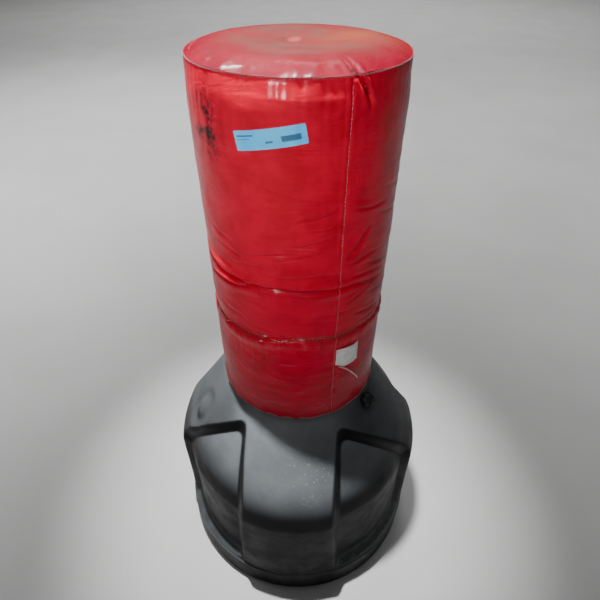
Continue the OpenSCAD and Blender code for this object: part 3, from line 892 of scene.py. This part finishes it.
def top_height(az, r):
    """Height of the top panel: rounded over at the seam, proud at the rim and sagging in the middle."""
    inward = np.clip((BAG_R - r) / (66 * MM), 0, 1)
    rim = 15.5 * MM - 6.0 * MM * (0.5 - 0.5 * np.cos(az))
    round_over = rim * (1 - (1 - inward) ** 2.8)
    sag = 8.5 * MM * (1 - smoothstep(20 * MM, 140 * MM, r))
    wrap = az / tau
    crumple = 0.9 * MM * lattice_noise(wrap, r / (34 * MM), 9, 51) * smoothstep(20 * MM, 80 * MM, r)
    gather = 1.3 * MM * lattice_noise(wrap, 0 * r + 0.5, 56, 52) * bump(BAG_R - r - 9 * MM, 13 * MM)
    gather += 0.7 * MM * lattice_noise(wrap, r / (12 * MM), 84, 53) * bump(BAG_R - r - 16 * MM, 18 * MM)
    in_front = 0.25 + 0.75 * smoothstep(-0.2, 0.8, np.cos(az))
    return SEAM_Z + round_over - sag + (crumple + gather) * in_front


def build_top_cover(side_r):
    """Round top panel, closed underneath a little below its skin."""
    steps = np.concatenate([[0, 0.4, 1, 1.8, 2.8], np.arange(4, 30, 1.6), np.arange(30, 166, 3.4)]) * MM
    edge = side_r[-1] + 0.3 * MM
    rows = []
    for inset in steps:
        lift = (inset < 1 * MM) * 0.5 * MM
        rows.append(np.stack([edge * (1 - inset / BAG_R), top_height(BAG_AZ, BAG_R - inset) + lift], -1))
    rows = np.array(rows)
    r, z = rows[..., 0], rows[..., 1]
    az = BAG_AZ[None, :] + 0 * r
    under_r = np.array([0.0, 30, 90, 140, 158, 163, 165.5])[:, None] * MM * np.ones(COLS)
    under_r[0] = 6 * MM
    under_z = top_height(az[:len(under_r)], under_r) - 2.2 * MM
    under_z[-1] = SEAM_Z - 0.2 * MM
    under_r = under_r * edge / BAG_R
    grid = np.concatenate([on_bag(az[:len(under_r)], under_z, under_r), on_bag(az, z, r)])
    top = lathe_mesh("top_cover", grid)
    skip = np.zeros((len(under_r), COLS))
    marks = [np.concatenate([skip, field]).ravel() for field in top_marks(az, r)]
    gash, grime, dust, tan, scuff = marks
    around = np.concatenate([skip, r * np.sin(az) / BAG_R]).ravel()
    up = np.concatenate([skip, -r * np.cos(az)]).ravel()
    vinyl_marks(top, around, up, gash, grime=grime, dust=dust, tan=tan, scuff=scuff)
    finish_piece(top, "bag", "red_vinyl", "top_vinyl_shaded", "cover_top")


def top_marks(az, r):
    """Shares of gash, grime, dust, tan and scuff over the top panel; the gash share is painted shade in the
    slit.
    """
    x, y = r * np.sin(az), -r * np.cos(az)
    dust = 0.95 * (1 - smoothstep(60 * MM, 158 * MM, np.hypot(x - 12 * MM, (y - 18 * MM) * 0.9)))
    dust += 0.25 * (1 - smoothstep(100 * MM, 168 * MM, r))
    tan = bump(np.hypot(x - 105 * MM, y - 60 * MM), 75 * MM)
    grime = np.clip(0.4 + 0.4 * bump(x + 60 * MM, 80 * MM), 0, 1) * smoothstep(30 * MM, 120 * MM, r)
    # Gash: painted near-black shade along the slit where it runs onto the top panel.
    off = angle_from(az - np.interp(r, [140 * MM, 168 * MM], np.radians([27, 31])), 0)
    spots = lattice_noise(az / tau, r / (3 * MM), 380, 42)
    gash = smoothstep(0, 0.35, spots) * bump(off * r, 3 * MM) * smoothstep(146 * MM, 154 * MM, r)
    return gash, grime, np.clip(dust, 0, 1), tan, 0 * r


def side_radius(side_r, az, z):
    """Radius of the finished side panel at az and z, read between its vertices."""
    row = np.clip((z - BAG_Z0 - 0.6 * MM) / (SEAM_Z - BAG_Z0 - 1 * MM) * (ROWS - 1), 0, ROWS - 1.001)
    col = (az % tau) / tau * COLS
    i, j = np.floor(row).astype(int), np.floor(col).astype(int)
    fi, fj = row - i, col - j
    a = side_r[i, j % COLS] * (1 - fj) + side_r[i, (j + 1) % COLS] * fj
    b = side_r[i + 1, j % COLS] * (1 - fj) + side_r[i + 1, (j + 1) % COLS] * fj
    return a * (1 - fi) + b * fi


# ---------------------------------------------------------------- seams, hem and small pieces
def stitch_row(name, path, outward, length, pitch, width, height):
    """A row of raised stitches along a path, one closed spindle each, as one mesh."""
    gaps = np.linalg.norm(np.diff(path, axis=0), axis=1)
    along = np.concatenate([[0], np.cumsum(gaps)])
    starts = np.arange(pitch / 2, along[-1] - length, pitch)
    sides, stations = 8, np.array([0.0, 0.12, 0.35, 0.65, 0.88, 1.0])
    girth = np.array([0.25, 0.8, 1.0, 1.0, 0.8, 0.25])
    verts, faces = [], []
    for start in starts:
        s = start + stations * length
        middle = np.stack([np.interp(s, along, path[:, k]) for k in range(3)], -1)
        up = np.stack([np.interp(s, along, outward[:, k]) for k in range(3)], -1)
        ahead = middle[-1] - middle[0]
        side = np.cross(ahead / np.linalg.norm(ahead), up)
        first = len(verts)
        for c, u, w, g in zip(middle, up, side, girth):
            for k in range(sides):
                t = tau * k / sides
                verts.append(c + w * cos(t) * g * width / 2 + u * sin(t) * g * height)
        faces += grid_faces(len(stations), sides, start=first)
        faces.append([first + k for k in reversed(range(sides))])
        faces.append([first + (len(stations) - 1) * sides + k for k in range(sides)])
    return link_mesh(name, verts, faces)


def radial(az):
    return np.stack([np.sin(az), -np.cos(az), 0 * az], -1)


def ring_band(name, az, centre_r, centre_z, half_width, thickness):
    """Flat tape on edge round the bag: a closed ring with a rounded-rectangle section."""
    corners = [(-1, 0), (-0.92, 0.8), (-0.6, 1), (0.6, 1), (0.92, 0.8), (1, 0), (0.9, -0.6), (-0.9, -0.6)]
    rows = [on_bag(az, centre_z + v * half_width, centre_r + t * thickness) for v, t in corners]
    return lathe_mesh(name, np.array(rows), closed_ring=True)


def sew(name, az, z, r, stitch, material, *nodes):
    """Stitches along angles, heights and radii. A stitch is its length, pitch, width and height in mm."""
    row = stitch_row(name, on_bag(az, z, r), radial(az), *(size * MM for size in stitch))
    return finish_piece(row, "bag", "seam_thread", material, *nodes)


def build_seams(side_r):
    az = BAG_AZ
    wobble = 0.5 * MM * lattice_noise(az / tau, 0 * az + 0.5, 80, 61)
    edge = side_r[-1] + 0.9 * MM
    welt = ring_band("top_seam_welt", az, edge - 0.5 * MM, SEAM_Z - 0.3 * MM + wobble, 0.9 * MM, 0.5 * MM)
    finish_piece(welt, "bag", "seam_thread", "seam_deep", "top_welt")
    loop = np.append(az, tau)
    z = SEAM_Z - 0.8 * MM + np.append(wobble, wobble[0])
    r = np.append(edge, edge[0]) - 0.1 * MM
    sew("top_seam_stitches", loop, z, r, (3.4, 5.6, 0.65, 0.3), "seam_top")

    z = np.linspace(BAG_Z0 + 9 * MM, SEAM_Z - 5 * MM, 400)
    seam_az = SEAM_AZ + 0.0035 * np.sin(z / (60 * MM))
    r = side_radius(side_r, seam_az, z) + 0.15 * MM
    sew("side_seam_stitches", seam_az, z, r, (5.2, 6.2, 0.8, 0.4), "seam", "side_seam")

    pulled = pulled_thread(loop)
    z = (cross_height(loop) - 3.0 * pulled) * MM
    r = side_radius(side_r, loop, z) + (0.1 + 1.3 * pulled) * MM
    cross = sew("cross_seam_stitches", loop, z, r, (4.8, 7.0, 1.0, 0.4), "seam", "cross_seam")
    x, y = np.array([v.co.xy for v in cross.data.vertices]).T
    set_attribute(cross, "bare", pulled_thread(np.arctan2(x, -y)))

    hem_z = BAG_Z0 + 2.6 * MM + 0.7 * MM * lattice_noise(az / tau, 0 * az + 0.5, 40, 62)
    hem_r = side_radius(side_r, az, hem_z) + 0.35 * MM
    hem = ring_band("bottom_hem_tape", az, hem_r, hem_z, 2.0 * MM, 0.7 * MM)
    finish_piece(hem, "bag", "seam_thread", "hem", "bottom_hem")


def pulled_thread(az):
    """1 where the cross seam's thread is pulled out and rubbed pale: at the left and in front."""
    spots = [(-61, 2.4), (-55, 2.0), (-50, 1.4), (-8, 2.0), (-3, 1.8)]
    return np.clip(sum(bump(angle_from(az, spot), radians(2 * half)) for spot, half in spots), 0, 1)


def sheet_mesh(name, points, outward, thickness):
    """Closed thin sheet: a rows x columns grid of points with the same grid set back behind it."""
    rows, cols = points.shape[:2]
    back = points - outward * thickness
    verts = np.vstack([points.reshape(-1, 3), back.reshape(-1, 3)])
    n = rows * cols
    faces = []
    for i in range(rows - 1):
        for j in range(cols - 1):
            a, b, c, d = i * cols + j, i * cols + j + 1, (i + 1) * cols + j + 1, (i + 1) * cols + j
            faces.append([a, b, c, d])
            faces.append([n + d, n + c, n + b, n + a])
    rim = [j for j in range(cols)] + [i * cols + cols - 1 for i in range(1, rows)]
    rim += [(rows - 1) * cols + j for j in reversed(range(cols - 1))]
    rim += [i * cols for i in reversed(range(1, rows - 1))]
    for a, b in zip(rim, rim[1:] + rim[:1]):
        faces.append([b, a, n + a, n + b])
    return link_mesh(name, verts, faces)


def build_sticker(side_r):
    """Blank self-adhesive tag that follows the panel; plain rules stand in for its printing."""
    middle_az, middle_z = radians(-7.8), middle_height("blank_sticker")
    width, height, tilt = 101 * MM, 27 * MM, radians(10.5)
    u, v = np.meshgrid(np.linspace(-0.5, 0.5, 121), np.linspace(-0.5, 0.5, 41))
    corner = 2.2 * MM
    pull = np.hypot(np.maximum(np.abs(u) * width - (width / 2 - corner), 0),
                    np.maximum(np.abs(v) * height - (height / 2 - corner), 0))
    shrink = np.where(pull > corner * 0.72, 1 - (pull - corner * 0.72) / (width / 2), 1)
    along, up = u * width * shrink, v * height * shrink
    x = along * cos(tilt) - up * sin(tilt)
    z = middle_z + along * sin(tilt) + up * cos(tilt)
    az = middle_az + x / BAG_R
    lifted = 0.9 * MM * bump(np.hypot(u - 0.5, v - 0.5), 0.09)
    lifted += 0.5 * MM * bump(np.hypot(u + 0.5, v + 0.5), 0.08)
    r = side_radius(side_r, az, z) + 0.35 * MM + lifted
    tag = sheet_mesh("blank_tag", on_bag(az, z, r), radial(az), 0.25 * MM)
    set_attribute(tag, "rule", tag_rules(along / MM, up / MM).ravel())
    finish_piece(tag, "bag", "sticker_paper", "sticker", "blank_sticker")


def tag_rules(x, y):
    """Plain bars on the tag: two thin rules at the left, a short dash and a block at the right."""
    def bar(x0, x1, y0, y1):
        return (smoothstep(x0 - 0.5, x0 + 0.3, x) * (1 - smoothstep(x1 - 0.3, x1 + 0.5, x))
                * smoothstep(y0 - 0.5, y0 + 0.3, y) * (1 - smoothstep(y1 - 0.3, y1 + 0.5, y)))
    return 0.85 * np.clip(bar(-46, -22, 5.2, 7.0) + 0.7 * bar(-46, -28, 1.0, 2.2)
                          + 0.9 * bar(-6, 4, -5.6, -2.8) + bar(16, 42, -6.0, 1.6), 0, 1)


def build_label(side_r):
    """White woven label, caught in the side seam and bowing away from the bag."""
    width, height = 54 * MM, 41 * MM
    u, v = np.meshgrid(np.linspace(0, 1, 55), np.linspace(0, 1, 43))
    az = SEAM_AZ + radians(0.8) + u * (width - 2 * MM) / (BAG_R + 4 * MM)
    low = 683 * MM - 11 * MM * smoothstep(0, 0.45, u) + 3 * MM * smoothstep(0.7, 1, u)
    high = low[:, :1] + height - 3 * MM * u
    z = low + v * (high - low)
    stand = 1.8 * MM * np.sin(pi * np.minimum(u * 1.1, 1)) + 1.6 * MM * u * (1 - 0.7 * v)
    stand += 0.5 * MM * np.sin(8 * u + 3 * v) * u
    r = side_radius(side_r, az, z) + 0.9 * MM + np.maximum(stand, 0)
    label = sheet_mesh("woven_care_label", on_bag(az, z, r), radial(az), 0.35 * MM)
    finish_piece(label, "bag", "label_cloth", "label", "care_label")


def build_inside():
    """Foam, top pad and bottom panel: what shows when the bag is lifted off its seat."""
    bore, side = CORE_R + 0.3 * MM, 160 * MM
    low = BAG_Z0 + 2.4 * MM
    pocket = FLANGE_Z + 12 * MM
    foam = [(bore, CORE_TOP), (bore, pocket + 2 * MM), (bore + 1.5 * MM, pocket),
            (OPENING_R - 1 * MM, pocket), (OPENING_R, pocket - 2 * MM), (OPENING_R, low + 1 * MM),
            (OPENING_R + 1 * MM, low), (side - 4 * MM, low), (side, low + 5 * MM),
            (side, CORE_TOP - 3 * MM), (side - 2 * MM, CORE_TOP)]
    block = revolve("foam_block", foam, closed_ring=True)
    finish_piece(block, "bag", "foam", "foam", "foam_body")
    pad = revolve("foam_pad", [(40 * MM, CORE_TOP + 0.6 * MM), (side - 3 * MM, CORE_TOP + 0.6 * MM),
                               (side, CORE_TOP + 4 * MM), (side - 2 * MM, SEAM_Z - 6 * MM),
                               (side - 14 * MM, SEAM_Z - 3 * MM), (40 * MM, SEAM_Z - 4 * MM)])
    finish_piece(pad, "bag", "foam", "foam", "foam_top")
    panel = [(OPENING_R - 0.8 * MM, BAG_Z0 + 1 * MM), (OPENING_R, BAG_Z0), (100 * MM, BAG_Z0 - 0.2 * MM),
             (130 * MM, BAG_Z0 - 0.3 * MM), (155 * MM, BAG_Z0 - 0.2 * MM), (164 * MM, BAG_Z0 + 0.2 * MM),
             (164.6 * MM, BAG_Z0 + 1.4 * MM), (155 * MM, BAG_Z0 + 2 * MM), (OPENING_R, BAG_Z0 + 2 * MM)]
    bottom = revolve("bottom_panel", panel, cols=384, closed_ring=True)
    count = len(bottom.data.vertices)
    vinyl_marks(bottom, np.arange(count) * 0.01, np.zeros(count), np.zeros(count),
                grime=np.full(count, 0.7), dust=np.full(count, 0.3))
    finish_piece(bottom, "bag", "red_vinyl", "vinyl", "cover_bottom")


# ---------------------------------------------------------------- studio
def spot_light(name, place, target, radius, degrees, power, blend=1.0):
    """A round lamp of a radius in metres, with a cone of so many degrees aimed at the target."""
    data = bpy.data.lights.new(name, "SPOT")
    data.shadow_soft_size = radius
    data.spot_size = radians(degrees)
    data.spot_blend = blend
    data.energy = power
    light = bpy.data.objects.new(name, data)
    bpy.context.scene.collection.objects.link(light)
    light.location = place
    light.rotation_euler = (Vector(target) - Vector(place)).to_track_quat("-Z", "Y").to_euler()


def floor_light(name, x, y, height, radius, degrees, power):
    """A lamp straight above the floor at (x, y)."""
    spot_light(name, (x, y, height), (x, y, 0), radius, degrees, power)


def make_studio():
    """A pale floor and lamps: one above that throws the bag's shadow, the rest for bag and floor."""
    half = 16.0
    corners = [(-half, -half, 0), (half, -half, 0), (half, half, 0), (-half, half, 0)]
    floor = link_mesh("studio_floor", corners, [[0, 1, 2, 3]], smooth=False)
    floor.data.materials.append(MATERIALS["floor"])
    world = bpy.data.worlds.new("studio_air")
    world.use_nodes = True
    background = world.node_tree.nodes["Background"]
    background.inputs["Color"].default_value = (1.0, 1.0, 1.0, 1)
    background.inputs["Strength"].default_value = 0.06
    bpy.context.scene.world = world
    spot_light("key", (-0.2, 0.0, 3.4), (-0.02, -0.02, 0.4), 0.03, 26, 1200)
    spot_light("bag_spot", (-0.75, -2.7, 1.8), (0, 0, 1.06), 0.3, 19.5, 335, blend=0.9)
    spot_light("rim_spot", (-1.2, 1.0, 3.2), (-0.06, -0.13, 1.2), 0.15, 9, 420, blend=0.9)
    spot_light("base_spot", (0.25, -3.0, 3.1), (0.03, -0.1, 0.33), 0.2, 13, 40, blend=0.9)
    floor_light("far_floor_spot", 0, 8.0, 9.0, 2.0, 110, 5200)
    for side, share in ((-1, 1.0), (1, 0.4)):
        floor_light("rear_floor_spot", side * 1.9, 2.6, 4.6, 0.9, 76, 1500 * share)
        floor_light("side_floor_spot", side * 2.2, 0.5, 4.6, 0.9, 56, 900 * share)
        floor_light("front_floor_spot", side * 1.5, -2.3, 4.6, 0.9, 56, 160)


build_base()
build_fill_cap()
panel_radius = build_side_cover()
build_top_cover(panel_radius)
build_seams(panel_radius)
build_sticker(panel_radius)
build_label(panel_radius)
build_inside()
make_studio()

bpy.context.view_layer.update()
